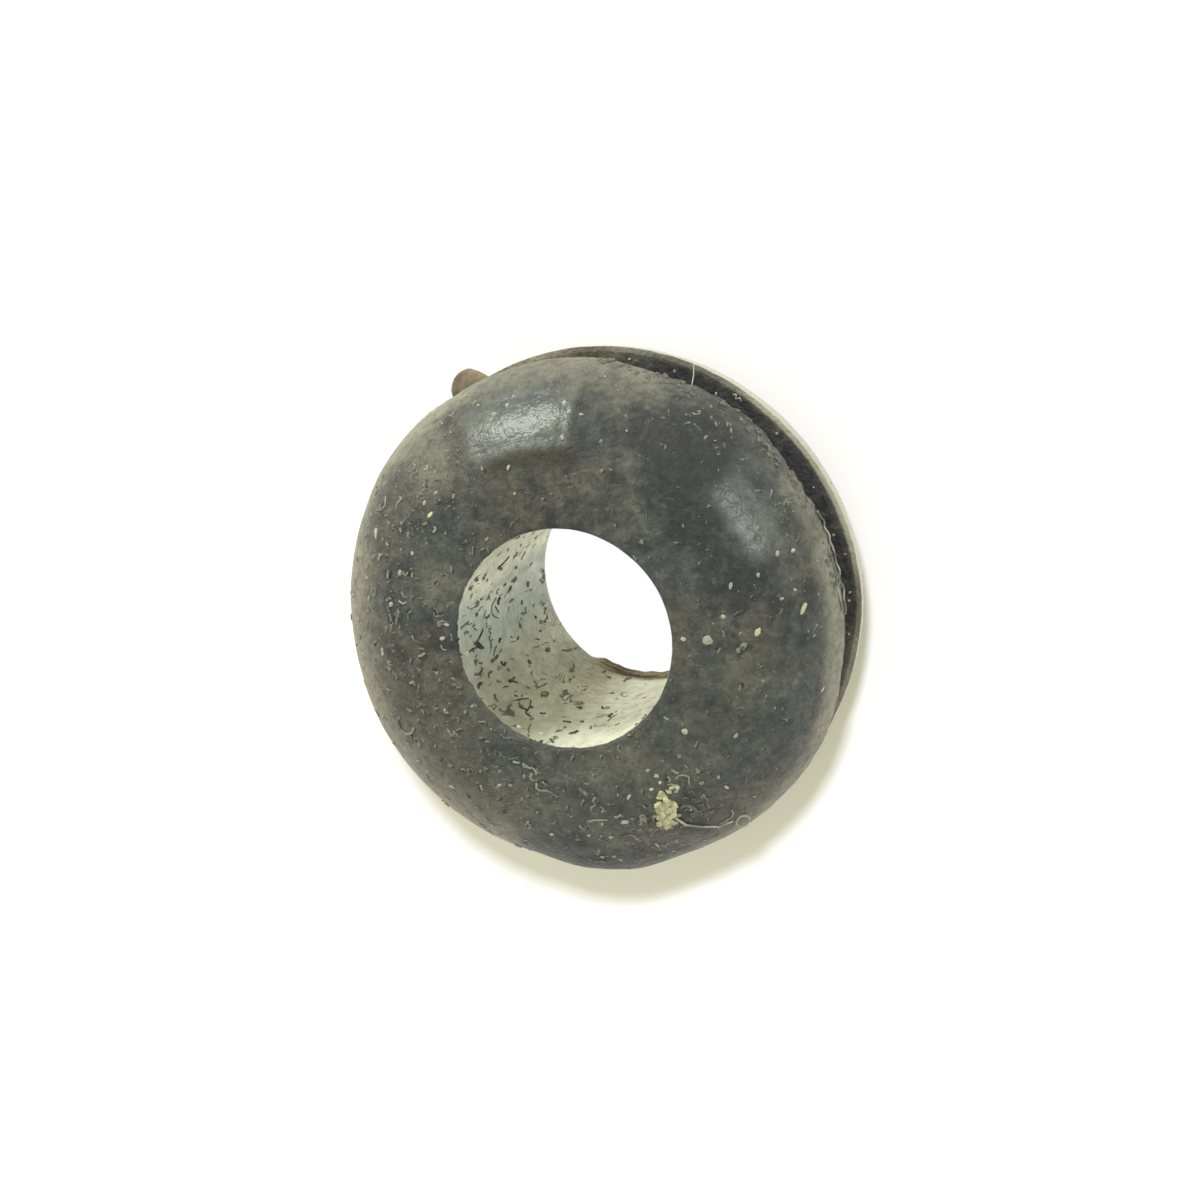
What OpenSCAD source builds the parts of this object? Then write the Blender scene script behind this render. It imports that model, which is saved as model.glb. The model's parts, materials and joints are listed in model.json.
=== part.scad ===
// Double-sided rubber grommet: two domed flanges joined by a neck, with a round bore right through.
// The panel's edge sits in the groove between the flanges and the cable passes through the bore.
// It lies on one flange: the bore runs up +Z from the middle of that flange's flat face.

/* [Body] */
// Outer diameter of both flanges
flange_d = 14.3; // [11.8:0.1:24]
// Overall thickness, from one flange's flat face to the other's
body_t = 7.6; // [5:0.1:12]

/* [Bore] */
// Diameter of the bore that the cable passes through
bore_d = 6.1; // [3:0.1:8]
// Rounding of the bore's two mouths
mouth_r = 0.15; // [0.05:0.05:0.4]

/* [Groove] */
// Width of the groove, which takes the panel's thickness
groove_w = 1.4; // [0.8:0.1:3]
// Diameter of the neck at the bottom of the groove, which fills the panel's hole
neck_d = 9.5; // [7.6:0.1:12]
// Fillet where the neck meets each flange
root_r = 0.3; // [0.1:0.05:0.35]

/* [Flanges] */
// Width of the flat ring round each mouth, where the outer face starts to curve down to the rim
ring_w = 0.55; // [0.2:0.05:1.5]

/* [Hidden] */
$fn = 128;
bore_r = bore_d / 2;
neck_r = neck_d / 2;
flange_r = flange_d / 2;
// Thickness of one flange, from the groove's side to the flat outer face
flange_t = (body_t - groove_w) / 2;
// The dome is one arc, level where it leaves the flat ring, that ends on the rim's groove-side edge.
// On a flange too thick for that, it ends upright on a straight band instead.
dome_x = bore_r + mouth_r + ring_w;
dome_run = flange_r - dome_x;
full_dome_r = (pow(dome_run, 2) + pow(flange_t, 2)) / (2 * flange_t);
// Rounded to 0.0001 mm, so that the arc and the flat ring meet with no step between them
dome_r = dome_run < flange_t ? dome_run : round(full_dome_r * 10000) / 10000;
dome_y = flange_t - dome_r;

// Half section of one flange, drawn from the groove's side up to the flat outer face
module flange_section() {
    square([dome_x, flange_t]);
    intersection() {
        translate([dome_x, dome_y]) circle(dome_r);
        square([2 * flange_r, flange_t]);
    }
    if (dome_y > 0) square([flange_r, dome_y]);
}

// What a rounded mouth takes away at the inner edge of the flat outer face
module mouth_cut() {
    difference() {
        translate([0, flange_t - mouth_r]) square([bore_r + mouth_r, 2 * mouth_r]);
        translate([bore_r + mouth_r, flange_t - mouth_r]) circle(mouth_r);
    }
}

// Rubber that fills the inside corner between the neck and a flange
module root_fillet() {
    difference() {
        translate([neck_r - root_r, -root_r]) square(2 * root_r);
        translate([neck_r + root_r, -root_r]) circle(root_r);
    }
}

// Half section of one side of the grommet, from the middle of the groove to the flat outer face
module side_section() {
    difference() {
        union() {
            translate([0, groove_w / 2]) flange_section();
            translate([0, groove_w / 2]) root_fillet();
            square([neck_r, groove_w / 2 + root_r]);
        }
        square([bore_r, body_t]);
        translate([0, groove_w / 2]) mouth_cut();
    }
}

module grommet() {
    color("#57574f")
    translate([0, 0, body_t / 2])
    rotate_extrude() {
        side_section();
        mirror([0, 1]) side_section();
    }
}

grommet();
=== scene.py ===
import json
import math
import random

import bmesh
import bpy
from mathutils import Matrix, Vector, noise
from mathutils.bvhtree import BVHTree


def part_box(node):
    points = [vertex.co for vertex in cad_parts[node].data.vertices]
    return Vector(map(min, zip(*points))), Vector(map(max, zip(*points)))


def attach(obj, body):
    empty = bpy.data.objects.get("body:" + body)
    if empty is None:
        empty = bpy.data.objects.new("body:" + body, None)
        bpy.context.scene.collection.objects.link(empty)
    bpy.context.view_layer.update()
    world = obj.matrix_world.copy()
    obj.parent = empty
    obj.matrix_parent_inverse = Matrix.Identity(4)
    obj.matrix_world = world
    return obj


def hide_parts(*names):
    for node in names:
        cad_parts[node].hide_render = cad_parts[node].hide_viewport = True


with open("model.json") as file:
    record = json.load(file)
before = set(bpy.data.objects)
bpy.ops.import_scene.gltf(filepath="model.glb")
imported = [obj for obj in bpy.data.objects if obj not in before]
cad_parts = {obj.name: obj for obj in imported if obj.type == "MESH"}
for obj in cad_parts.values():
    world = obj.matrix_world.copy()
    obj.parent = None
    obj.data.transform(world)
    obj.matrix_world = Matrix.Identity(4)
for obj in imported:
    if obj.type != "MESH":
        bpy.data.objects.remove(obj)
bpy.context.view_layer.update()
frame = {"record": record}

# ------------------------------------
# Grommet body
# One moulding of black natural rubber: two domed flanges on a short neck with
# a hole right through. It came out of a two-part mould, and has since gone
# grey, with old talc still packed in the bore.
# ------------------------------------

MM = 0.001
mounts = {mount["name"]: mount for mount in frame["record"]["mounts"]}
body_low, body_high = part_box("grommet")

flange_r = (body_high.x - body_low.x) / 2 / MM
height = (body_high.z - body_low.z) / MM
middle = height / 2
bore_r = mounts["bore"]["dims"]["r_mm"]
neck_r = mounts["panel_groove"]["dims"]["r_mm"]
groove_w = mounts["panel_groove"]["dims"]["length_mm"]
mouth_r = (height - mounts["bore"]["dims"]["length_mm"]) / 2
ring_w = 0.55
root_r = 0.30
flange_t = (height - groove_w) / 2
ring_end = bore_r + mouth_r + ring_w
dome_run = flange_r - ring_end
dome_r = (dome_run ** 2 + flange_t ** 2) / (2 * flange_t)
if dome_run < flange_t:
    dome_r = dome_run
dome_centre = height - dome_r
dome_angle = math.degrees(math.acos((height - flange_t - dome_centre) / dome_r))
groove_top = height - flange_t
groove_floor = flange_t
wedges, wedge_steps = 16, 24
weld = 0.0005


def swept(bm, vert, centre, degrees, steps):
    """Carries the half-section on round a centre, and gives its new end."""
    made = bmesh.ops.spin(
        bm, geom=[vert], cent=(centre[0], 0, centre[1]), axis=(0, 1, 0),
        angle=math.radians(degrees), steps=steps,
    )
    return next(v for v in made["geom_last"] if isinstance(v, bmesh.types.BMVert))


def drawn(bm, vert, to, steps):
    """Carries the half-section straight on to a point, and gives its new end."""
    begin, target = vert.co.copy(), Vector((to[0], 0, to[1]))
    for step in range(1, steps + 1):
        vert = bmesh.ops.extrude_vert_indiv(bm, verts=[vert])["verts"][0]
        vert.co = begin.lerp(target, step / steps)
    return vert


def ease(low, high, value):
    """0 below low, 1 above high, and a smooth change between."""
    share = min(max((value - low) / (high - low), 0), 1)
    return share * share * (3 - 2 * share)


def near(degrees, centre, half, soft):
    """1 within half of a heading round the bore, fading to 0 over soft degrees."""
    away = abs((degrees - centre + 180) % 360 - 180)
    return 1 - ease(half, half + soft, away)


def amounts(degrees, spots):
    """What each spot round the rim adds there. A spot is its heading, half width, softness and amount."""
    return [amount * near(degrees, centre, half, soft) for centre, half, soft, amount in spots]


bm = bmesh.new()
end = bm.verts.new((bore_r, 0, middle))
end = drawn(bm, end, (bore_r, height - mouth_r), 34)
end = swept(bm, end, (bore_r + mouth_r, height - mouth_r), 90, 5)
end = drawn(bm, end, (ring_end, height), 5)
end = swept(bm, end, (ring_end, dome_centre), dome_angle, 54)
end = drawn(bm, end, (flange_r - 0.24, groove_top), 4)
end = drawn(bm, end, (neck_r + root_r, groove_top), 11)
end = swept(bm, end, (neck_r + root_r, groove_top - root_r), -90, 3)
end = drawn(bm, end, (neck_r, middle), 2)
bmesh.ops.mirror(
    bm, geom=bm.verts[:] + bm.edges[:], axis="Z", merge_dist=0.0001,
    matrix=Matrix.Translation((0, 0, -middle)),
)
bmesh.ops.remove_doubles(bm, verts=bm.verts, dist=weld)
bmesh.ops.spin(
    bm, geom=bm.verts[:] + bm.edges[:], cent=(0, 0, 0), axis=(0, 0, 1),
    angle=math.tau / wedges, steps=wedge_steps,
)
bmesh.ops.spin(
    bm, geom=bm.verts[:] + bm.edges[:] + bm.faces[:], cent=(0, 0, 0), axis=(0, 0, 1),
    angle=math.tau * (wedges - 1) / wedges, steps=wedges - 1, use_duplicate=True,
)
bmesh.ops.remove_doubles(bm, verts=bm.verts, dist=weld)
bmesh.ops.recalc_face_normals(bm, faces=bm.faces)

# What the finish is told about every point of the skin.
fields = ("talc", "shade", "rim", "lip", "polish_and_painted_glint", "grime", "load", "marks_and_painted_light", "flaking", "smear")
talc, shade, rim, lip, polish_and_painted_glint, grime, load, marks_and_painted_light, flaking, smear = (
    bm.verts.layers.float.new(name) for name in fields
)

# Dark marks on the upper face, and pale ones below nought: heading, distance from the axis, size in
# millimetres, and how dark. Some are darker patches in the skin. Others are painted shade: they darken the
# right side, and at the foot they paint a contact shadow. The pale one at 31 degrees is a painted highlight
# at the side light's glint.
painted_light_and_skin_marks = [
    (57, 6.2, 1.0, 4.0), (45, 5.4, 0.9, 2.9), (70, 6.3, 0.6, 0.9), (50, 7.0, 1.0, 1.0),
    (62, 5.2, 0.7, 0.8), (16, 5.25, 0.6, 3.0), (25, 5.2, 0.6, 1.2), (13, 4.6, 0.5, 0.3),
    (5, 6.2, 0.8, 0.9), (20, 6.3, 0.6, 0.9), (245, 3.9, 0.45, 0.5), (78, 5.9, 1.0, 1.1),
    (200, 5.2, 1.0, 0.4), (186, 4.5, 0.8, 1.2), (165, 4.6, 0.8, 0.4), (300, 6.6, 0.9, 0.6),
    (271, 6.9, 0.8, 3.8), (258, 6.8, 0.6, 1.2), (285, 6.8, 0.6, 1.2), (131, 5.75, 0.65, -2.0),
    (134, 6.6, 0.6, -0.4), (112, 6.5, 0.6, -0.3), (255, 5.0, 1.8, -0.7), (300, 4.6, 1.4, -0.5),
    (157, 3.8, 0.7, -0.9), (277, 5.7, 0.6, -0.8), (215, 5.2, 1.2, -0.5), (357, 6.1, 1.0, -0.5),
    (88, 6.9, 0.8, 0.6), (18, 4.1, 0.6, -0.3), (130, 4.9, 0.6, 0.8), (165, 3.95, 0.5, -0.9),
    (164, 6.3, 0.5, -0.4), (86, 4.45, 0.9, 1.2), (60, 4.6, 0.7, -1.2), (349, 5.0, 0.7, -0.7),
    (320, 4.95, 0.7, -0.5), (338, 5.7, 0.8, -0.2), (10, 6.2, 0.5, 0.5), (31, 6.3, 0.4, -0.8),
    (119, 5.4, 0.5, 0.8),
]
# Spots round the rim, for amounts(): where the upper flange swells or falls in, where its edge is torn,
# where dust lies wide and thick on it, paled further towards the edge as painted sheen, where the groove
# has faded, and where talc is packed in the bore, which also paints light on the wall there.
swells = [
    (226, 16, 22, 0.07), (272, 4, 14, 0.17), (140, 6, 12, 0.06), (12, 20, 20, -0.13), (74, 5, 10, -0.1),
]
tears = [(42, 24, 14, 0.9), (133, 8, 8, 0.5)]
dust_and_sheen_width = [(210, 42, 14, 1.8), (95, 16, 14, 0.35), (143, 14, 8, 0.45)]
dust_and_sheen_amount = [(210, 42, 14, 0.40), (356, 18, 10, 0.20), (138, 16, 8, 0.34), (54, 14, 8, -0.28)]
faded_places = [(96, 10, 10, 0.45), (340, 10, 8, 0.40)]
talc_and_painted_light = [(285, 14, 26, 1.0), (144, 14, 20, 1.0), (168, 6, 20, 0.46)]
lower_shift = Vector((0.12, 0.18, 0))
edge_reach, lip_reach, lip_curl = 0.16, 0.34, 0.19

bm.normal_update()
moves = {}
for vert in bm.verts:
    x, y, z = vert.co
    r = math.hypot(x, y)
    turn = math.atan2(y, x)
    heading = math.degrees(turn) % 360
    upper = z > middle
    out = Vector((x / r, y / r, 0))
    reach = ease(neck_r + 0.3, flange_r, r)

    # Neither flange is quite round, and the lower one is a little smaller and
    # sits off centre, where the two halves of the mould didn't meet truly.
    ring_place = Vector((math.cos(turn), math.sin(turn), 4.0 if upper else 9.0))
    move = out * reach * 0.020 * noise.noise(ring_place * 1.7)
    if upper:
        move += out * reach * (0.05 + sum(amounts(heading, swells)))
    else:
        move += out * reach * (-0.12 - 0.05 * near(heading, 335, 10, 15)) + lower_shift * reach

    # The groove edge of the upper flange is ragged where the flash was torn.
    edge_gap = math.hypot(r - flange_r, z - (groove_top if upper else groove_floor))
    edge = math.exp(-((edge_gap / edge_reach) ** 2))
    torn = 0.3 + sum(amounts(heading, tears))
    if upper:
        bite = noise.noise(vert.co * 2.2 + Vector((7, 3, 1)))
        nick = noise.noise(vert.co * 5.5 + Vector((2, 9, 4)))
        move += out * edge * torn * (-0.08 * max(bite, 0) - 0.08 * max(nick, 0))
        move.z += edge * torn * (0.05 * bite + 0.06 * nick)
    else:
        nick = noise.noise(vert.co * 4.0)
        move += out * edge * -0.03 * max(nick, 0)

    # Shallow lumps and shrink marks in the skin.
    lump = noise.noise(vert.co * 0.9 + Vector((1, 5, 2)))
    ripple = noise.noise(vert.co * 3.1)
    move += vert.normal * ease(0.0, 0.35, z) * (0.014 * lump + 0.006 * ripple)

    # The trimmed flash left a curled lip at the lower mouth of the bore, gone
    # brown. The same brown is faint on the lower edge of the groove, at the back left.
    lip_here = near(heading, 262, 19, 9) if z < 0.6 and r < bore_r + 0.3 else 0
    lip_here *= math.exp(-((z / lip_reach) ** 2))
    move -= out * lip_here * (lip_curl + 0.04 * ripple)
    browned = 0.15 * near(heading, 106, 14, 10) * ease(5.9, 6.5, r)
    vert[lip] = max(lip_here, browned if groove_floor - 0.3 < z < middle else 0)

    # Talc in the bore: where it lies, how thick it is, and where it has flaked. Thick talc also paints
    # light on the wall where the lamps under the table shine, and thin talc paints shade in places on the
    # far wall.
    into_bore = min(height - z, z) + bore_r + mouth_r - r if r < bore_r + 0.6 else -1
    talc_in_painted_shade = max(
        near(heading, 237, 8, 14) * ease(2.8, 1.4, z),
        near(heading, 233, 8, 12) * ease(6.2, 6.6, z),
        near(heading, 219, 8, 12) * ease(3.8, 4.4, z) * 0.6,
    )
    vert[talc] = ease(-0.1, 0.5, into_bore)
    vert[load] = max(amounts(heading, talc_and_painted_light)) - 0.6 * talc_in_painted_shade
    vert[flaking] = 0.3 + 0.7 * near(heading, 205, 45, 35)

    # The groove is nearly black, but worn bare along the lower flange's edge. That bare edge is painted
    # paler still, as a painted highlight, where the window and the side light catch it.
    if groove_floor - 0.02 < z < groove_top + 0.02 and r > bore_r + 0.7:
        painted_edge_highlight = 0.25 + 0.75 * max(near(heading, 32, 19, 12), near(heading, 124, 14, 10))
        worn_and_lit_edge = 0.2 * ease(flange_r - 0.30, flange_r - 0.20, r)
        worn_and_lit_edge += painted_edge_highlight * 0.8 * ease(flange_r - 0.19, flange_r - 0.10, r)
        vert[shade] = (1 if upper else 1 - worn_and_lit_edge) * (1 - sum(amounts(heading, faded_places)))

    # Dust and chalk on the rims, with painted sheen paling the very edges. On the upper face come the wiped
    # and rubbed patches, painted paler as a highlight where they glint, the olive smear, and the dark and
    # pale marks, partly painted shade and highlight.
    vert[rim] = 0.5 * ease(flange_r - 0.45, flange_r - 0.30, r)
    # On the lower flange the edge gets a pale bare strip, partly painted highlight.
    vert[rim] += 1.1 * ease(flange_r - 0.19, flange_r - 0.10, r)
    vert[grime] = 0.4
    if upper:
        band = 0.36 + sum(amounts(heading, dust_and_sheen_width))
        dust_and_sheen = 0.34 + sum(amounts(heading, dust_and_sheen_amount))
        # At the foot the pale rim is left off, so the rim there reads dark as a painted contact shadow.
        foot_in_painted_shadow = near(heading, 272, 14, 12)
        vert[rim] = dust_and_sheen * ease(flange_r - band, flange_r - 0.06, r) * (1 - foot_in_painted_shadow)
        ragged_rim = 0.8 * near(heading, 50, 30, 15) * ease(6.2, 6.7, r)
        vert[grime] = max(near(heading, 215, 75, 45), ragged_rim)
        # The wiped and rubbed patches sit where the window and the side light glint. They are smoother, and
        # are also painted paler as a highlight.
        wiped_and_glint_patch = near(heading, 102, 12.5, 2 if heading < 102 else 6)
        wiped_and_glint_patch *= ease(5.15, 5.55, r) * ease(6.75, 6.45, r)
        rubbed_and_glint_patch = 0.84 * near(heading, 34, 8, 6) * ease(5.5, 5.85, r) * ease(6.65, 6.35, r)
        vert[polish_and_painted_glint] = max(wiped_and_glint_patch, rubbed_and_glint_patch)
        vert[smear] = near(heading, 100, 9, 10) * math.exp(-(((r - 5.02) / 0.26) ** 2))
        dark = 0
        for at, far, wide, depth in painted_light_and_skin_marks:
            gap = math.hypot(x - far * math.cos(math.radians(at)), y - far * math.sin(math.radians(at)))
            dark += depth * math.exp(-((gap / wide) ** 2))
        vert[marks_and_painted_light] = dark
    moves[vert] = move
for vert, move in moves.items():
    vert.co += move
    vert.co.z = min(max(vert.co.z, 0), height)

for face in bm.faces:
    face.smooth = True
skin = BVHTree.FromBMesh(bm)


def placed_in_scene(name, data):
    """Puts a new object in the scene."""
    thing = bpy.data.objects.new(name, data)
    bpy.context.scene.collection.objects.link(thing)
    return thing


def finished(name, bm, material):
    """Makes a piece of a bmesh drawn in millimetres, and lets it ride on the grommet."""
    bmesh.ops.scale(bm, vec=(MM, MM, MM), verts=bm.verts)
    mesh = bpy.data.meshes.new(name)
    bm.to_mesh(mesh)
    bm.free()
    mesh.materials.append(material)
    piece = placed_in_scene(name, mesh)
    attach(piece, "root")
    return piece


def paint(code, alpha=1.0):
    """An sRGB hex colour as the linear one that a shader takes."""
    parts = [int(code[i:i + 2], 16) / 255 for i in (1, 3, 5)]
    return tuple(c / 12.92 if c <= 0.04045 else ((c + 0.055) / 1.055) ** 2.4 for c in parts) + (alpha,)


def add(tree, kind, inputs=None, out=None, **settings):
    """Adds a shader node and gives its first live output, or the one named by out.

    inputs gives each socket, by its name or its place, a value, a hex colour or
    the output that it is linked from.
    """
    made = tree.nodes.new("ShaderNode" + kind)
    for name, value in settings.items():
        setattr(made, name, value)
    live = {socket.name: socket for socket in reversed(list(made.inputs)) if socket.enabled}
    for key, value in (inputs or {}).items():
        socket = made.inputs[key] if isinstance(key, int) else live[key]
        if isinstance(value, bpy.types.NodeSocket):
            tree.links.new(value, socket)
        else:
            socket.default_value = paint(value) if isinstance(value, str) else value
    if out:
        return made.outputs[out]
    return next((socket for socket in made.outputs if socket.enabled), None)


def new_finish(name):
    """Starts a finish: gives it, its nodes, and places on the piece in millimetres for its patterns."""
    finish = bpy.data.materials.new(name)
    finish.use_nodes = True
    finish.node_tree.nodes.clear()
    place = add(finish.node_tree, "TexCoord", out="Object")
    mm_place = add(finish.node_tree, "Mapping", {"Vector": place, "Scale": (1 / MM, 1 / MM, 1 / MM)})
    return finish, finish.node_tree, mm_place


# Aged natural rubber, moulded: a dull satin grey skin, mottled where the bloom
# of wax and chalk has been rubbed off, and chalky white talc in the bore.
aged_rubber, tree, mm_place = new_finish("aged_moulded_rubber")
(
    talc_here, shade_here, rim_here, lip_at, polish_and_glint_here, grime_here, talc_load_and_light_here, marks_and_painted_light_here, flaking_here,
    smear_here,
) = (add(tree, "Attribute", attribute_name=name, out="Fac") for name in fields)
smoothly = {"interpolation_type": "SMOOTHSTEP"}

# Patches 3 mm across, then clouds and stains under 1 mm, then a 0.1 mm grain.
patches = add(tree, "TexNoise", {
    "Vector": mm_place, "Scale": 0.38, "Detail": 3.0, "Roughness": 0.55, "Distortion": 0.6,
})
clouds = add(tree, "TexNoise", {
    "Vector": mm_place, "Scale": 1.7, "Detail": 7.0, "Roughness": 0.70, "Distortion": 0.15,
})
grain = add(tree, "TexNoise", {"Vector": mm_place, "Scale": 8.5, "Detail": 3.0, "Roughness": 0.7})
stains = add(tree, "TexNoise", {
    "Vector": mm_place, "Scale": 1.15, "Detail": 6.0, "Roughness": 0.66, "Distortion": 0.3,
})

patch_mix = add(tree, "MapRange", {"Value": patches, "From Min": 0.40, "From Max": 0.62}, **smoothly)
base = add(tree, "Mix", {"Factor": patch_mix, "A": "#484a46", "B": "#57564a"}, data_type="RGBA")
cloud_mix = add(tree, "MapRange", {
    "Value": clouds, "From Min": 0.46, "From Max": 0.72, "To Max": 0.75,
}, **smoothly)
base = add(tree, "Mix", {"Factor": cloud_mix, "A": base, "B": "#6f7063"}, data_type="RGBA")
# Random dark stains, and the darker marks, partly painted shade.
stain_and_shade_level = add(tree, "Math", {0: marks_and_painted_light_here, 1: 0.085, 2: stains}, operation="MULTIPLY_ADD")
stain_and_shade_mix = add(tree, "MapRange", {
    "Value": stain_and_shade_level, "From Min": 0.46, "From Max": 0.70, "To Max": 0.85,
}, **smoothly)
base = add(tree, "Mix", {"Factor": stain_and_shade_mix, "A": base, "B": "#2a2b2a"}, data_type="RGBA")
# The paler marks, one of them a painted highlight.
pale_mark_and_highlight_mix = add(tree, "Math", {0: marks_and_painted_light_here, 1: -0.45}, operation="MULTIPLY", use_clamp=True)
base = add(tree, "Mix", {"Factor": pale_mark_and_highlight_mix, "A": base, "B": "#7e7f6b"}, data_type="RGBA")
grain_tone = add(tree, "MapRange", {
    "Value": grain, "From Min": 0.3, "From Max": 0.7, "To Min": 0.82, "To Max": 1.18,
})
blots = add(tree, "TexNoise", {
    "Vector": mm_place, "Scale": 3.6, "Detail": 2.0, "Roughness": 0.6, "Distortion": 0.5,
})
blot_tone = add(tree, "MapRange", {
    "Value": blots, "From Min": 0.34, "From Max": 0.66, "To Min": 0.72, "To Max": 1.28,
})
grain_tone = add(tree, "Math", {0: grain_tone, 1: blot_tone}, operation="MULTIPLY")
base = add(tree, "VectorMath", {0: base, 3: grain_tone}, operation="SCALE")

# Crumbs of chalk about 0.1 mm across pressed into the skin, each with a painted shadow beside it: a dark
# fleck set off to one side.


def crumbs_at(place, low, high, most):
    """How much of a crumb shows at a place, where the skin is dirty enough for one."""
    field = add(tree, "TexNoise", {
        "Vector": place, "Scale": 4.4, "Detail": 2.5, "Roughness": 0.6, "Distortion": 0.9,
    })
    level = add(tree, "Math", {0: grime_here, 1: 0.035, 2: field}, operation="MULTIPLY_ADD")
    return add(tree, "MapRange", {
        "Value": level, "From Min": low, "From Max": high, "To Max": most,
    }, **smoothly)


flecks = crumbs_at(mm_place, 0.655, 0.74, 0.7)
fleck_shadow_place = add(tree, "VectorMath", {0: mm_place, 1: (-0.050, 0.042, 0.0)}, operation="ADD")
painted_fleck_shadows = crumbs_at(fleck_shadow_place, 0.635, 0.71, 0.85)
base = add(tree, "Mix", {"Factor": painted_fleck_shadows, "A": base, "B": "#2b2c2a"}, data_type="RGBA")
base = add(tree, "Mix", {"Factor": flecks, "A": base, "B": "#a9aa96"}, data_type="RGBA")

# Chalk that has settled in fine wrinkles: thin curled lines, broken up by a
# coarser pattern so that only short lengths of each show.
wrinkle_field = add(tree, "TexNoise", {
    "Vector": mm_place, "Scale": 2.3, "Detail": 1.5, "Distortion": 1.6,
})
wrinkle_gap = add(tree, "Math", {0: wrinkle_field, 1: 0.5}, operation="SUBTRACT")
wrinkle_gap = add(tree, "Math", {0: wrinkle_gap}, operation="ABSOLUTE")
wrinkle_line = add(tree, "MapRange", {
    "Value": wrinkle_gap, "From Min": 0.006, "From Max": 0.018, "To Min": 1.0, "To Max": 0.0,
}, **smoothly)
wrinkle_where = add(tree, "TexNoise", {"Vector": mm_place, "Scale": 2.9, "Detail": 1.0})
wrinkle_where = add(tree, "MapRange", {"Value": wrinkle_where, "From Min": 0.56, "From Max": 0.62})
wrinkles = add(tree, "Math", {0: wrinkle_line, 1: wrinkle_where}, operation="MULTIPLY")
wrinkle_share = add(tree, "MapRange", {"Value": grime_here, "To Min": 0.12, "To Max": 0.75})
chalk = add(tree, "Math", {0: wrinkles, 1: wrinkle_share}, operation="MULTIPLY")
base = add(tree, "Mix", {"Factor": chalk, "A": base, "B": "#939583"}, data_type="RGBA")

# Dust rubbed on to the widest part of each flange, with painted sheen in it towards the edge.
rim_patches = add(tree, "MapRange", {
    "Value": blots, "From Min": 0.32, "From Max": 0.62, "To Min": 0.50, "To Max": 0.95,
})
rim_mix = add(tree, "Math", {0: rim_here, 1: rim_patches}, operation="MULTIPLY", use_clamp=True)
base = add(tree, "Mix", {"Factor": rim_mix, "A": base, "B": "#beb89a"}, data_type="RGBA")
# The lower flange's bare edge in cream: wear and a painted highlight.
bare_rim = add(tree, "MapRange", {"Value": rim_here, "From Min": 1.1, "From Max": 1.6})
base = add(tree, "Mix", {"Factor": bare_rim, "A": base, "B": "#cdc8b0"}, data_type="RGBA")

# An olive smear of old grease beside the wiped patch.
smear_mix = add(tree, "Math", {0: smear_here, 1: 0.95}, operation="MULTIPLY")
base = add(tree, "Mix", {"Factor": smear_mix, "A": base, "B": "#36331d"}, data_type="RGBA")

# Painted highlight: where the skin is wiped and rubbed, at the glints, it is painted a shade paler and
# bluer.
painted_glint_mix = add(tree, "Math", {0: polish_and_glint_here, 1: 0.26}, operation="MULTIPLY")
base = add(tree, "Mix", {"Factor": painted_glint_mix, "A": base, "B": "#858e88"}, data_type="RGBA")

# Inside the groove the rubber is still nearly black, with a purple cast.
groove_colour = add(tree, "Mix", {"Factor": cloud_mix, "A": "#434245", "B": "#6f6b62"}, data_type="RGBA")
groove_colour = add(tree, "VectorMath", {0: groove_colour, 3: grain_tone}, operation="SCALE")
base = add(tree, "Mix", {"Factor": shade_here, "A": base, "B": groove_colour}, data_type="RGBA")

# Talc in the bore, cracked and flaked down to the dark rubber under it. The
# marks were drawn out along the bore when the core pin was pulled.
bore_place = add(tree, "Mapping", {"Vector": mm_place, "Scale": (1, 1, 0.45)})
talc_clouds = add(tree, "TexNoise", {"Vector": mm_place, "Scale": 0.9, "Detail": 5.0, "Roughness": 0.6})
# Paler where the talc lies thick, partly painted light.
talc_and_light_level = add(tree, "Math", {0: talc_load_and_light_here, 1: 1.2, 2: talc_clouds}, operation="MULTIPLY_ADD")
talc_and_light_mix = add(tree, "MapRange", {"Value": talc_and_light_level, "From Min": 0.42, "From Max": 1.65})
height_on_wall = add(tree, "SeparateXYZ", {0: mm_place}, out="Y")
cool_side = add(tree, "MapRange", {
    "Value": height_on_wall, "From Min": -2.6, "From Max": 1.0,
}, **smoothly)
wall_colour = add(tree, "Mix", {"Factor": cool_side, "A": "#bebca0", "B": "#9ba3a1"}, data_type="RGBA")
talc_colour = add(tree, "Mix", {"Factor": talc_and_light_mix, "A": wall_colour, "B": "#edecd4"}, data_type="RGBA")
# Painted shade where the talc is thin.
painted_shade_on_talc = add(tree, "MapRange", {"Value": talc_load_and_light_here, "From Max": -0.6})
talc_colour = add(tree, "Mix", {"Factor": painted_shade_on_talc, "A": talc_colour, "B": "#a09e86"}, data_type="RGBA")
smudges = add(tree, "TexNoise", {"Vector": bore_place, "Scale": 3.2, "Detail": 3.0, "Distortion": 0.6})
smudge_tone = add(tree, "MapRange", {
    "Value": smudges, "From Min": 0.34, "From Max": 0.60, "To Min": 0.82, "To Max": 1.05,
})
talc_colour = add(tree, "VectorMath", {0: talc_colour, 3: smudge_tone}, operation="SCALE")
crack_field = add(tree, "TexNoise", {
    "Vector": bore_place, "Scale": 1.9, "Detail": 1.0, "Distortion": 1.4,
})
crack_gap = add(tree, "Math", {0: crack_field, 1: 0.52}, operation="SUBTRACT")
crack_gap = add(tree, "Math", {0: crack_gap}, operation="ABSOLUTE")
crack_line = add(tree, "MapRange", {
    "Value": crack_gap, "From Min": 0.020, "From Max": 0.050, "To Min": 0.9, "To Max": 0.0,
})
crack_where = add(tree, "TexNoise", {"Vector": bore_place, "Scale": 3.8, "Detail": 0.0})
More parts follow.
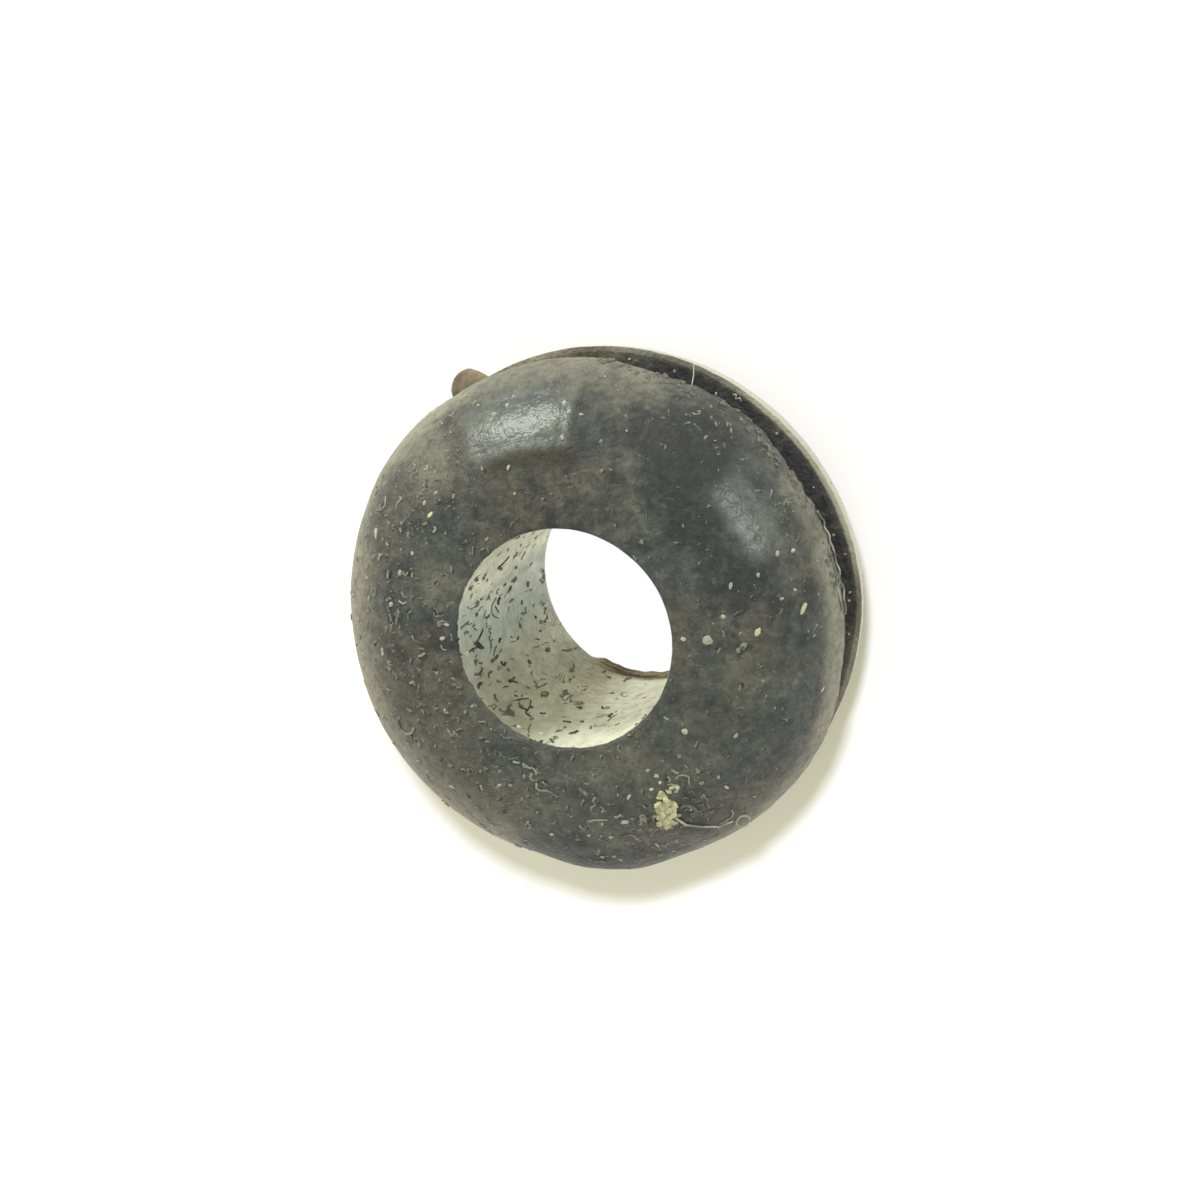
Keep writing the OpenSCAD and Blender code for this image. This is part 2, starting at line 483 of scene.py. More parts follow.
crack_where = add(tree, "MapRange", {"Value": crack_where, "From Min": 0.60, "From Max": 0.67})
cracks = add(tree, "Math", {0: crack_line, 1: crack_where}, operation="MULTIPLY")
wander = add(tree, "TexNoise", {"Vector": bore_place, "Scale": 5.0, "Detail": 2.0}, out="Color")
wander = add(tree, "VectorMath", {0: wander, 3: 0.35}, operation="SCALE")
pit_place = add(tree, "VectorMath", {0: bore_place, 1: wander}, operation="ADD")
pit_cells = add(tree, "TexVoronoi", {"Vector": pit_place, "Scale": 3.1, "Randomness": 1}).node.outputs
pit_size = add(tree, "SeparateColor", {0: pit_cells["Color"]})
pit_size = add(tree, "MapRange", {"Value": pit_size, "From Min": 0.55, "From Max": 1.0, "To Max": 0.33})
pit_depth = add(tree, "Math", {0: pit_size, 1: pit_cells["Distance"]}, operation="SUBTRACT")
pits = add(tree, "MapRange", {"Value": pit_depth, "From Max": 0.09})
# A painted highlight: a pale ring round each pit.
pit_rim_highlights = add(tree, "MapRange", {
    "Value": pit_depth, "From Min": -0.16, "From Max": -0.03, "To Max": 0.35,
})
talc_colour = add(tree, "Mix", {"Factor": pit_rim_highlights, "A": talc_colour, "B": "#d9d9c8"}, data_type="RGBA")
flaked = add(tree, "Math", {0: cracks, 1: pits}, operation="MAXIMUM")
flaked = add(tree, "Math", {0: flaked, 1: flaking_here}, operation="MULTIPLY")
talc_colour = add(tree, "Mix", {"Factor": flaked, "A": talc_colour, "B": "#46453a"}, data_type="RGBA")
talc_edge = add(tree, "TexNoise", {"Vector": mm_place, "Scale": 3.0, "Detail": 3.0, "Roughness": 0.6})
talc_edge = add(tree, "Math", {0: talc_edge, 1: 0.5, 2: talc_here}, operation="MULTIPLY_ADD")
talc_here = add(tree, "MapRange", {"Value": talc_edge, "From Min": 0.70, "From Max": 0.82}, **smoothly)
base = add(tree, "Mix", {"Factor": talc_here, "A": base, "B": talc_colour}, data_type="RGBA")

# The curled lip has gone brown, in streaks that run along it.
lip_place = add(tree, "Mapping", {"Vector": mm_place, "Scale": (0.7, 0.7, 7.0)})
lip_streaks = add(tree, "TexNoise", {"Vector": lip_place, "Scale": 1.0, "Detail": 2.0})
lip_streaks = add(tree, "MapRange", {"Value": lip_streaks, "From Min": 0.38, "From Max": 0.60})
lip_colour = add(tree, "Mix", {"Factor": lip_streaks, "A": "#5b4c35", "B": "#a79a79"}, data_type="RGBA")
lip_mix = add(tree, "MapRange", {"Value": lip_at, "From Min": 0.05, "From Max": 0.25}, **smoothly)
base = add(tree, "Mix", {"Factor": lip_mix, "A": base, "B": lip_colour}, data_type="RGBA")

# Duller where the bloom is thick, and a low satin shine where it is wiped off.
dull = add(tree, "MapRange", {
    "Value": clouds, "From Min": 0.3, "From Max": 0.7, "To Min": 0.48, "To Max": 0.62,
})
rough = add(tree, "Mix", {"Factor": polish_and_glint_here, "A": dull, "B": 0.22})
rough = add(tree, "Mix", {"Factor": talc_here, "A": rough, "B": 0.85})

# The skin's relief is made of the same patterns, all but worn away where it is
# wiped, and the talc is pitted where it has flaked.
relief = add(tree, "Math", {0: clouds, 1: 0.9, 2: wrinkles}, operation="MULTIPLY_ADD")
relief = add(tree, "Math", {0: flecks, 1: 0.7, 2: relief}, operation="MULTIPLY_ADD")
grain_depth = add(tree, "MapRange", {"Value": polish_and_glint_here, "To Min": 1.3, "To Max": 0.3})
relief = add(tree, "Math", {0: grain, 1: grain_depth, 2: relief}, operation="MULTIPLY_ADD")
relief = add(tree, "Math", {0: blots, 1: 2.3, 2: relief}, operation="MULTIPLY_ADD")
flaked_here = add(tree, "Math", {0: flaked, 1: talc_here}, operation="MULTIPLY")
relief = add(tree, "Math", {0: relief, 1: flaked_here}, operation="SUBTRACT")
worn_flat = add(tree, "MapRange", {"Value": polish_and_glint_here, "To Min": 1.0, "To Max": 0.34})
relief = add(tree, "Math", {0: relief, 1: worn_flat}, operation="MULTIPLY")
bumped = add(tree, "Bump", {"Height": relief, "Strength": 0.75, "Distance": 0.035 * MM})

shader = add(tree, "BsdfPrincipled", {
    "Base Color": base, "Roughness": rough, "Normal": bumped, "IOR": 1.52,
    "Specular IOR Level": 0.38, "Sheen Weight": 0.06, "Sheen Roughness": 0.4,
    "Sheen Tint": "#d9d6bd",
})
add(tree, "OutputMaterial", {"Surface": shader})

body = finished("grommet_body", bm, aged_rubber)
body.data.set_sharp_from_angle(angle=math.radians(55))
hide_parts("grommet")

# ------------------------------------
# Nib
# A knob of brown gum left on the edge of the lower flange, where the rubber
# was fed into the mould. It was snapped off and never trimmed.
# ------------------------------------


def around(heading, distance, level):
    """A point given by its heading round the axis, its distance from it and its height."""
    turn = math.radians(heading)
    return Vector((distance * math.cos(turn), distance * math.sin(turn), level))


nib_at = around(124.0, flange_r - 0.12, groove_floor - 0.15)
nib_r, nib_shape = 0.58, Matrix.Diagonal((0.98, 1.08, 0.95, 1))
bm = bmesh.new()
bmesh.ops.create_icosphere(
    bm, subdivisions=4, radius=nib_r,
    matrix=Matrix.Translation(nib_at) @ Matrix.Rotation(math.radians(122.5), 4, "Z") @ nib_shape,
)
for vert in bm.verts:
    push = (vert.co - nib_at).normalized()
    dent, pore = noise.noise(vert.co * 1.6 + Vector((4, 4, 1))), noise.noise(vert.co * 6.0)
    vert.co += push * (0.13 * dent + 0.02 * pore)
for face in bm.faces:
    face.smooth = True


def mottled(
    name, scale, detail, low, high, dull, pale, roughness,
    ior=1.5, specular=0.3, tone_share=None, relief=None,
):
    """A plain finish that goes from a dull colour to a pale one.

    A noise with scale patches to the millimetre mixes them, between its low and
    high values. With tone_share, it is added in that share to each grain's own
    tone. relief is the strength and the depth in millimetres of its bumps.
    """
    finish, tree, mm_place = new_finish(name)
    field = add(tree, "TexNoise", {"Vector": mm_place, "Scale": scale, "Detail": detail})
    level = field
    if tone_share:
        tone = add(tree, "Attribute", attribute_name="tone", out="Fac")
        level = add(tree, "Math", {0: field, 1: tone_share, 2: tone}, operation="MULTIPLY_ADD")
    level = add(tree, "MapRange", {"Value": level, "From Min": low, "From Max": high})
    colour = add(tree, "Mix", {"Factor": level, "A": dull, "B": pale}, data_type="RGBA")
    surface = {"Base Color": colour, "Roughness": roughness, "IOR": ior, "Specular IOR Level": specular}
    if relief:
        strength, depth = relief
        bumps = {"Height": field, "Strength": strength, "Distance": depth * MM}
        surface["Normal"] = add(tree, "Bump", bumps)
    shader = add(tree, "BsdfPrincipled", surface)
    add(tree, "OutputMaterial", {"Surface": shader})
    return finish


# Natural gum rubber, brown and waxy, darker in its folds.
brown_gum = mottled(
    "brown_gum_rubber", 1.7, 4.0, 0.38, 0.62, "#66573f", "#968564", 0.6, ior=1.52, specular=0.4,
    relief=(0.7, 0.04),
)
finished("rim_nib", bm, brown_gum)

# ------------------------------------
# Torn flash
# A hair-thin skin of rubber that squeezed out between the mould halves, still
# hanging along the groove edge of the upper flange on the right.
# ------------------------------------


def strands(name, runs, material):
    """Makes one piece of round threads. Each run is its points, its radius and whether it closes."""
    curve = bpy.data.curves.new(name, "CURVE")
    curve.dimensions, curve.bevel_depth, curve.bevel_resolution = "3D", 1.0, 0
    curve.use_fill_caps = True
    for points, radius, closed in runs:
        spline = curve.splines.new("POLY")
        spline.points.add(len(points) - 1)
        for knot, point in zip(spline.points, points):
            knot.co, knot.radius = (*point, 1), radius
        spline.use_cyclic_u = closed
    holder = placed_in_scene(name, curve)
    bpy.context.view_layer.update()
    mesh = bpy.data.meshes.new_from_object(holder.evaluated_get(bpy.context.evaluated_depsgraph_get()))
    bm = bmesh.new()
    bm.from_mesh(mesh)
    bpy.data.objects.remove(holder)
    bpy.data.curves.remove(curve)
    bpy.data.meshes.remove(mesh)
    bmesh.ops.remove_doubles(bm, verts=bm.verts, dist=weld)
    bmesh.ops.recalc_face_normals(bm, faces=bm.faces)
    for face in bm.faces:
        face.smooth = True
    return finished(name, bm, material)


def outline(heading, level):
    """The spot on the grommet's outside at a heading and a height, and which way its skin faces."""
    way = around(heading, 1, 0)
    spot, facing, *_ = skin.ray_cast(way * 20 + Vector((0, 0, level)), -way)
    return spot, facing


# Two strips, one above the other. Each wavers along the edge, and the first
# stands off in one place.
upper_strip, lower_strip = [], []
for step in range(40):
    spot, facing = outline(26 - step * 0.62, groove_top + 0.10)
    lift = 0.05 + 0.02 * math.sin(step * 0.9) + (0.05 if step in (4, 5) else 0)
    lower_strip.append(spot + facing * lift + Vector((0, 0, -0.08 + 0.03 * math.sin(step * 0.37))))
for step in range(24):
    spot, facing = outline(17.5 - step * 0.7, groove_top + 0.22)
    lift = 0.012 + 0.01 * math.sin(step * 0.8)
    upper_strip.append(spot + facing * lift + Vector((0, 0, 0.02 * math.sin(step * 0.5))))

# The same rubber, dusty and grey because it is so thin.
grey_flash = mottled(
    "grey_rubber_flash", 3.0, 3.0, 0.4, 0.6, "#6d6c60", "#b4b4a0", 0.6, ior=1.52, specular=0.4,
)
strips = [(lower_strip, 0.034, False), (upper_strip, 0.024, False)]
strands("groove_flash", strips, grey_flash)

# ------------------------------------
# Dust and grit
# Pale grains of chalk and sand stuck to the whole skin, thickest on the left
# and along the bottom of the upper flange. The larger ones are placed singly.
# ------------------------------------


def on_top(heading, distance):
    """The spot on the upper flange at a heading and distance, and which way its skin faces."""
    spot, facing, *_ = skin.ray_cast(around(heading, distance, height + 1), Vector((0, 0, -1)))
    return spot, facing


def in_bore_at(heading, level):
    """The spot on the bore's wall at a heading and a height, and which way its skin faces."""
    spot, facing, *_ = skin.ray_cast(Vector((0, 0, level)), around(heading, 1, 0))
    return spot, facing


def grain_of_dirt(bm, placed, turn, long, wide, thick, tone, fineness=1):
    """Adds one uneven grain, half sunk in the skin. tone runs from 0, dull, to 1, bright."""
    spot, facing = placed
    along = Vector((1, 0, 0)) if facing.z > 0.3 else Vector((0, 0, 1)).cross(facing)
    along = (along - facing * along.dot(facing)).normalized()
    along = Matrix.Rotation(math.radians(turn), 3, facing) @ along
    stand = Matrix((along, facing.cross(along), facing)).transposed().to_4x4()
    shape = Matrix.Translation(spot) @ stand @ Matrix.Diagonal((long / 2, wide / 2, thick / 2, 1))
    points = bmesh.ops.create_icosphere(bm, subdivisions=fineness, radius=1, matrix=shape)["verts"]
    roughness = 0.40 / fineness
    for vert in points:
        vert.co = spot + (vert.co - spot) * chance.uniform(1 - roughness, 1 + roughness)
        vert[bm.verts.layers.float["tone"]] = tone
    return points


def dirt_share(heading, distance):
    """How dirty the upper flange is, from 0 to 1."""
    left = near(heading, 168, 26, 36) * ease(3.8, 4.9, distance)
    low = near(heading, 245, 55, 45)
    right = 0.55 * near(heading, 8, 18, 30)
    return min(0.22 + 0.8 * max(left, 0.9 * low, right), 1)


chance = random.Random(11)
bm = bmesh.new()
bm.verts.layers.float.new("tone")


def stray_grain(placed, size):
    """Adds one grain of the fine dust, turned anyhow and mostly dull."""
    turn, long = chance.uniform(0, 180), size * chance.uniform(1.0, 2.6)
    grain_of_dirt(bm, placed, turn, long, size, size * 0.6, chance.random() ** 2.2)


smallest = 0.030
placed_count = 0
while placed_count < 150:
    heading, distance = chance.uniform(0, 360), math.sqrt(chance.uniform(3.3 ** 2, 7.05 ** 2))
    if chance.random() > dirt_share(heading, distance):
        continue
    placed_count += 1
    stray_grain(on_top(heading, distance), smallest + 0.065 * chance.random() ** 2.4)
for count in range(170):
    heading, level = chance.uniform(0, 360), chance.uniform(0.4, 6.2)
    if groove_floor - 0.1 < level < groove_top + 0.1:
        continue
    stray_grain(outline(heading, level), smallest + 0.05 * chance.random() ** 2.2)
# Heading, distance, turn, length and width of the larger pale grains.
for heading, distance, turn, long, wide in [
    (133, 5.3, 40, 0.10, 0.08), (138, 5.35, 80, 0.11, 0.07), (153, 4.85, 110, 0.10, 0.08),
    (161, 5.0, 60, 0.14, 0.11), (156, 6.2, 95, 0.26, 0.10), (182, 3.5, 20, 0.12, 0.09),
    (188, 5.5, 70, 0.12, 0.08), (198, 4.7, 10, 0.10, 0.08), (110, 6.3, 0, 0.08, 0.06),
    (114, 6.65, 0, 0.07, 0.06), (107, 4.9, 75, 0.12, 0.07), (107, 4.2, 0, 0.08, 0.07),
    (22, 6.25, 80, 0.13, 0.09), (21, 6.55, 60, 0.11, 0.08), (19, 5.7, 90, 0.10, 0.07),
    (19, 5.0, 75, 0.17, 0.08), (11, 6.05, 0, 0.10, 0.08), (12, 6.35, 0, 0.08, 0.07),
    (324, 4.15, 30, 0.16, 0.14), (331, 5.35, 50, 0.12, 0.09), (304, 5.8, 80, 0.12, 0.08),
    (285, 5.4, 10, 0.17, 0.12), (231, 5.85, 0, 0.16, 0.09), (244, 4.75, 30, 0.14, 0.08),
    (262, 5.8, 0, 0.09, 0.08), (274, 6.5, 0, 0.10, 0.07), (277, 6.5, 0, 0.09, 0.07),
    (10, 4.6, 0, 0.11, 0.09), (172, 5.1, 60, 0.12, 0.09), (173, 5.9, 70, 0.13, 0.09),
    (90.8, 6.32, 100, 0.12, 0.09), (89, 6.12, 80, 0.12, 0.09), (85.6, 6.08, 0, 0.10, 0.06),
    (89.6, 5.5, 110, 0.12, 0.08), (92.8, 5.95, 160, 0.13, 0.08), (95, 5.95, 0, 0.12, 0.06),
    (106, 6.42, 90, 0.12, 0.08), (109.5, 6.3, 60, 0.12, 0.08), (104.5, 6.58, 40, 0.08, 0.06),
    (187, 5.5, 80, 0.16, 0.08), (2, 4.1, 20, 0.22, 0.19), (2.5, 3.42, 0, 0.12, 0.10),
    (303.5, 4.5, 0, 0.12, 0.09), (305, 5.15, 30, 0.10, 0.08), (317, 5.6, 60, 0.09, 0.07),
    (315.5, 5.95, 120, 0.14, 0.08), (273, 5.7, 0, 0.09, 0.08), (279, 5.8, 0, 0.10, 0.08),
    (290.5, 4.7, 50, 0.14, 0.07),
]:
    tone = chance.uniform(0.55, 1.0)
    grain_of_dirt(bm, on_top(heading, distance), turn, 1.3 * long, 1.25 * wide, 0.10, tone, 2)
# Grey chips on the rim at the upper right: heading, distance and length.
for heading, distance, long in [
    (55.3, 6.90, 0.20), (53.4, 7.00, 0.16), (51.8, 6.96, 0.18), (55.0, 6.60, 0.18), (57.0, 6.94, 0.12),
]:
    turn, tone = chance.uniform(60, 120), chance.uniform(0.0, 0.3)
    grain_of_dirt(bm, on_top(heading, distance), turn, long, 0.07, 0.07, tone, 2)
# Crumbs left along the torn edge of the upper flange.
for count in range(110):
    heading = chance.uniform(8, 88)
    size = chance.uniform(0.06, 0.17)
    grain_of_dirt(
        bm, outline(heading, groove_top + chance.uniform(0.03, 0.55)), chance.uniform(0, 180),
        size * chance.uniform(1, 1.8), size, size * 0.8, chance.uniform(-0.15, 0.35) ** 2,
    )
# A few bright ones on the groove's floor: heading, distance and size.
for heading, distance, size in [
    (45, 6.9, 0.09), (18, 6.75, 0.10), (13, 6.9, 0.07), (4, 6.85, 0.08), (2, 6.8, 0.07),
    (354, 6.8, 0.07), (62, 6.75, 0.09), (84, 6.9, 0.08), (73, 6.85, 0.07), (30, 6.8, 0.05),
]:
    spot, facing, *_ = skin.find_nearest(around(heading, distance, groove_floor))
    turn, tone = chance.uniform(0, 180), chance.uniform(0.6, 1.0)
    grain_of_dirt(bm, (spot, facing), turn, size * 1.3, size, size, tone)

# Chalk and fine sand: matt, from grey to nearly white.
chalk_dust = mottled(
    "chalk_and_sand_dust", 9.0, 2.0, 0.2, 1.2, "#6d6e62", "#c2c3ac", 0.9, specular=0.25, tone_share=0.5,
)
finished("skin_dust", bm, chalk_dust)

# ------------------------------------
# Yellow crumbs
# Soft crumbs of old yellow sealant: a few on the face, and one clot of them
# near the lower right edge with a thread caught in it.
# ------------------------------------

chance = random.Random(23)
# The clot's lumps are roughened by noise_vector, which needs a seed to be the same on every run.
noise.seed_set(23)
bm = bmesh.new()
bm.verts.layers.float.new("tone")
for heading, distance, turn, long, wide in [
    (139, 5.0, 50, 0.22, 0.11), (7, 6.45, 62, 0.38, 0.14), (3.5, 5.4, 60, 0.25, 0.15),
    (303, 4.7, 60, 0.13, 0.09), (299, 4.75, 20, 0.14, 0.08), (305, 5.0, 80, 0.15, 0.10),
    (301, 4.95, 10, 0.12, 0.10),
]:
    grain_of_dirt(bm, on_top(heading, distance), turn, long, wide, 0.09, chance.uniform(0.4, 1.0), 2)
# The clot: heading and distance of each lump, its turn, length, width and height.
for heading, distance, turn, long, wide, thick in [
    (301.0, 5.00, 20, 0.22, 0.14, 0.14), (300.8, 5.14, 80, 0.26, 0.16, 0.16),
    (300.0, 5.30, 40, 0.30, 0.20, 0.18), (298.0, 5.36, 100, 0.24, 0.16, 0.16),
    (301.2, 5.44, 60, 0.26, 0.20, 0.18), (299.5, 5.50, 0, 0.34, 0.24, 0.22),
    (297.0, 5.50, 70, 0.30, 0.20, 0.20), (295.2, 5.56, 130, 0.26, 0.18, 0.18),
    (298.6, 5.66, 30, 0.36, 0.22, 0.22), (296.4, 5.72, 100, 0.30, 0.20, 0.20),
    (294.4, 5.74, 20, 0.28, 0.18, 0.16), (295.2, 5.88, 60, 0.30, 0.18, 0.16),
    (297.2, 5.86, 150, 0.32, 0.18, 0.18), (293.6, 5.52, 0, 0.16, 0.10, 0.10),
    (299.6, 5.76, 10, 0.30, 0.14, 0.14), (297.9, 5.20, 40, 0.24, 0.15, 0.15),
    (296.7, 5.38, 90, 0.24, 0.16, 0.16), (299.7, 5.06, 10, 0.18, 0.11, 0.11),
    (305.3, 4.98, 30, 0.17, 0.10, 0.09), (306.3, 5.10, 110, 0.16, 0.09, 0.08),
    (303.2, 5.02, 150, 0.15, 0.08, 0.08),
]:
    spot, facing = on_top(heading, distance)
    raised, tone = (spot + facing * thick * 0.2, facing), chance.uniform(0.2, 1.0)
    for vert in grain_of_dirt(bm, raised, turn, long, wide, thick, tone, 3):
        vert.co += 0.06 * noise.noise_vector(vert.co * 5.0) + 0.05 * noise.noise_vector(vert.co * 13.0)
for face in bm.faces:
    face.smooth = True

# Dried sealant: matt and crumbly, pale yellow going grey-green.
dry_sealant = mottled(
    "dried_yellow_sealant", 7.0, 3.0, 0.3, 1.4, "#a5a27a", "#e6e2b6", 0.85,
    tone_share=0.8, relief=(0.8, 0.03),
)
finished("sealant_crumbs", bm, dry_sealant)

# ------------------------------------
# Lint
# Short ends of pale fibre lying flat on the skin, some bent into hooks, with painted shadows, dark threads,
# beside many of them. Most are on the left and the lower half, and the bolder ones are placed singly.
# ------------------------------------


def laid(points, lift):
    """Drops points on to the skin and lifts them clear of it."""
    rested = []
    for point in points:
        spot, facing, *_ = skin.find_nearest(point)
        rested.append(spot + facing * lift)
    return rested


def fibre_share(heading, distance):
    """How likely a short fibre is to lie there: hardly at all on the right."""
    by_clot = 1.5 * near(heading, 305, 5, 3) * ease(4.5, 4.8, distance) * ease(6.4, 6.1, distance)
    return (dirt_share(heading, distance) - 0.2) * (1 - near(heading, 30, 65, 20)) + 0.012 + by_clot


chance = random.Random(37)
runs, lint_shadow_runs = [], []
while len(runs) < 185:
    heading, distance = chance.uniform(0, 360), math.sqrt(chance.uniform(3.4 ** 2, 7.0 ** 2))
    if chance.random() > fibre_share(heading, distance):
        continue
    spot, facing = on_top(heading, distance)
    across = facing.orthogonal().normalized()
    across.rotate(Matrix.Rotation(chance.uniform(0, math.tau), 3, facing))
    beside = facing.cross(across)
    bend, step = math.radians(chance.gauss(0, 42)), chance.uniform(0.025, 0.070)
    points = [spot]
    for knot in range(4):
        points.append(points[-1] + across * step)
        across.rotate(Matrix.Rotation(bend + math.radians(chance.gauss(0, 25)), 3, facing))
    radius = chance.uniform(0.020, 0.046)
    runs.append((laid(points, 0.004), radius, False))
    # About half the nearer fibres get a painted shadow, a dark thread laid beside them.
    if chance.random() < 0.5 and distance < 5.9:
        lint_shadow_runs.append((laid([point + beside * 1.9 * radius for point in points], 0.0), radius, False))
# The bolder ones: heading and distance of each bend, and the fibre's radius.
for marks, radius in [
    ([(257, 4.22), (257, 4.36), (258.5, 4.42), (261, 4.37), (263.5, 4.43)], 0.036),
    ([(274, 5.24), (276.5, 5.19), (280.5, 5.23)], 0.030),
    ([(281.5, 5.84), (284, 5.82), (286, 5.9)], 0.026),
    ([(237, 3.43), (240.5, 3.27), (244, 3.22), (247, 3.20)], 0.018),
    ([(147, 6.45), (148.5, 6.3), (150.5, 6.35), (151.5, 6.5)], 0.026),
    ([(147, 5.9), (145, 6.0), (143, 5.95)], 0.028),
    ([(308, 4.86), (309.5, 4.83), (311, 4.92), (311.6, 5.04), (310.5, 5.12), (309.3, 5.26)], 0.030),
    ([(302, 5.6), (303.4, 5.6), (304.6, 5.7), (304.9, 5.83), (304.4, 5.95)], 0.050),
    ([(309.5, 5.7), (309.3, 5.84), (308.2, 5.92), (307.5, 6.05)], 0.040),
    ([(310, 6.5), (309.3, 6.6), (308, 6.66), (306, 6.66), (304.5, 6.63)], 0.030),
    ([(304.5, 4.87), (305.6, 4.90), (306.2, 5.0), (307, 5.03)], 0.036),
    ([(279, 4.5), (277.8, 4.6), (278.4, 4.72), (276.8, 4.78), (276, 4.9)], 0.034),
    ([(302.2, 5.72), (303.2, 5.70), (303.6, 5.80)], 0.036),
    ([(303.8, 5.62), (304.6, 5.70), (304.2, 5.82)], 0.036),
    ([(302.6, 5.90), (303.6, 5.95), (304.2, 5.88)], 0.032),
    ([(304.8, 5.92), (305.2, 6.02), (304.4, 6.08)], 0.032),
    ([(305.8, 5.62), (306.8, 5.58), (307.2, 5.66)], 0.028),
    ([(306.4, 5.80), (307.2, 5.88), (306.8, 5.98)], 0.032),
    ([(304.6, 5.44), (305.6, 5.42), (306.0, 5.50)], 0.030),
    ([(307.6, 5.36), (308.6, 5.40), (308.4, 5.50)], 0.028),
    ([(166.5, 4.8), (168, 4.72), (167.8, 4.6)], 0.030), ([(167.5, 4.48), (166.3, 4.42)], 0.032),
    ([(170, 4.85), (170.5, 4.7), (169.5, 4.6)], 0.032),
    ([(172, 5.1), (173.5, 5.2), (174.5, 5.1)], 0.028), ([(174.5, 4.85), (178, 4.9)], 0.026),
    ([(165.5, 3.75), (168, 3.75)], 0.026), ([(169, 5.7), (170, 5.65), (172, 5.7)], 0.045),
    ([(181, 4.4), (183, 4.35), (184, 4.1)], 0.028), ([(198, 4.8), (197.5, 4.65), (199, 4.65)], 0.036),
    ([(197.5, 6.0), (199.5, 5.9)], 0.028),
    ([(207, 5.7), (208, 5.85), (210, 5.92), (212, 5.82), (212.5, 5.6), (211.5, 5.4)], 0.040),
]:
    runs.append((laid([on_top(*mark)[0] for mark in marks], radius * 0.5), radius, False))

# Cotton and paper fibre, matt and off-white.
pale_fibre = mottled("pale_cotton_fibre", 1.6, 2.0, 0.38, 0.66, "#737468", "#b4b4a0", 0.8)
strands("skin_lint", runs, pale_fibre)

# Painted shadows of the lint: matt, nearly black threads laid beside much of it.
painted_lint_shadow = mottled("painted_lint_shadow_finish", 2.5, 2.0, 0.4, 0.65, "#41423e", "#5a5a53", 0.75)
strands("lint_painted_shadows", lint_shadow_runs, painted_lint_shadow)

# ------------------------------------
# Caught threads
# One cotton thread runs from the yellow clot to the edge and ends in a small
# curl. At the top right a hair stands across the groove, and a crimped end of
# thread lies in it.
# ------------------------------------

thread_marks = [
    (298.5, 5.72), (299, 5.9), (299.3, 6.12), (301.5, 6.4), (304, 6.68), (305.6, 6.72), (307, 6.78),
]
thread = laid([on_top(*mark)[0] for mark in thread_marks], 0.03)
spot, facing = on_top(308.3, 6.88)
curl_centre = spot + facing * 0.10
curl_turn = (facing + Vector((0.2, 0.1, 1.0))).to_track_quat("Z", "Y")
curl = []
for step in range(20):
    turn = math.tau * step / 20
    curl.append(curl_centre + curl_turn @ Vector((0.20 * math.cos(turn), 0.17 * math.sin(turn), 0)))
hair_marks = [(69, 7.24, 0.1), (67.6, 7.10, 0.5), (66.2, 6.98, groove_w - 0.35)]
crimped_marks = [
    (58.2, 7.0, 0.06), (57.6, 7.06, 0.09), (57.2, 6.94, 0.09), (56.6, 7.03, 0.07), (56.0, 6.96, 0.05),
]
hair, crimped = (
    [around(heading, distance, groove_floor + rise) for heading, distance, rise in marks]
    for marks in (hair_marks, crimped_marks)
)

# Bleached cotton thread, matt and paler than the lint.
bleached_thread = mottled("bleached_cotton_thread", 2.2, 2.0, 0.38, 0.66, "#9a9985", "#d2d0bb", 0.8)
strands("caught_threads", [
    (thread, 0.040, False), (curl, 0.040, True), (hair, 0.020, False), (crimped, 0.030, False),
], bleached_thread)

# ------------------------------------
# Grit in the bore
# Dark crumbs of rubber and short black fibres bedded in the talc, and a few
# pale crumbs pushed in near the upper mouth. One patch low on the wall is
# nearly clean.
# ------------------------------------


def clean_patch(heading, level):
    """Whether a spot on the bore's wall is in its clean patch."""
    return 232 < heading < 257 and 1.6 < level < 4.8


chance = random.Random(5)
bm = bmesh.new()
bm.verts.layers.float.new("tone")
# Heading, height, length along the bore, width and tone of each crumb.
for heading, level, long, wide, tone in [
    (173, 2.8, 0.40, 0.16, 0.0), (166, 2.85, 0.22, 0.10, 0.0), (171.5, 3.7, 0.22, 0.08, 0.0),
    (183, 3.1, 0.42, 0.07, 0.1), (217.5, 2.0, 0.34, 0.15, 0.0), (216.5, 3.5, 0.22, 0.15, 0.0),
    (213, 5.0, 0.20, 0.10, 0.1), (207, 1.7, 0.16, 0.08, 0.0), (199.5, 1.6, 0.16, 0.10, 0.0),
    (199, 0.7, 0.14, 0.08, 0.0), (204.5, 1.1, 0.14, 0.09, 0.0), (262, 5.1, 0.16, 0.14, 0.1),
    (232, 6.0, 0.30, 0.12, 0.0), (236, 5.6, 0.22, 0.10, 0.0), (241, 6.3, 0.24, 0.08, 0.1),
    (192, 7.15, 0.22, 0.14, 1.0), (213.5, 1.2, 0.20, 0.10, 0.9), (251, 6.9, 0.16, 0.14, 1.0),
    (240, 7.2, 0.20, 0.14, 0.9), (229.5, 5.3, 0.34, 0.16, 0.75), (198, 7.0, 0.16, 0.10, 0.8),
]:
    grain_of_dirt(bm, in_bore_at(heading, level), 0, wide, long, 0.07, tone, 2)
for count in range(34):
    heading, level = chance.uniform(0, 360), chance.uniform(0.3, 7.2)
    if clean_patch(heading, level):
        continue
    size = chance.uniform(0.05, 0.11)
    turn, long, tone = chance.uniform(-30, 30), size * chance.uniform(1.2, 2.8), chance.uniform(0, 0.2)
    grain_of_dirt(bm, in_bore_at(heading, level), turn, size, long, 0.04, tone)
for face in bm.faces:
    face.smooth = True

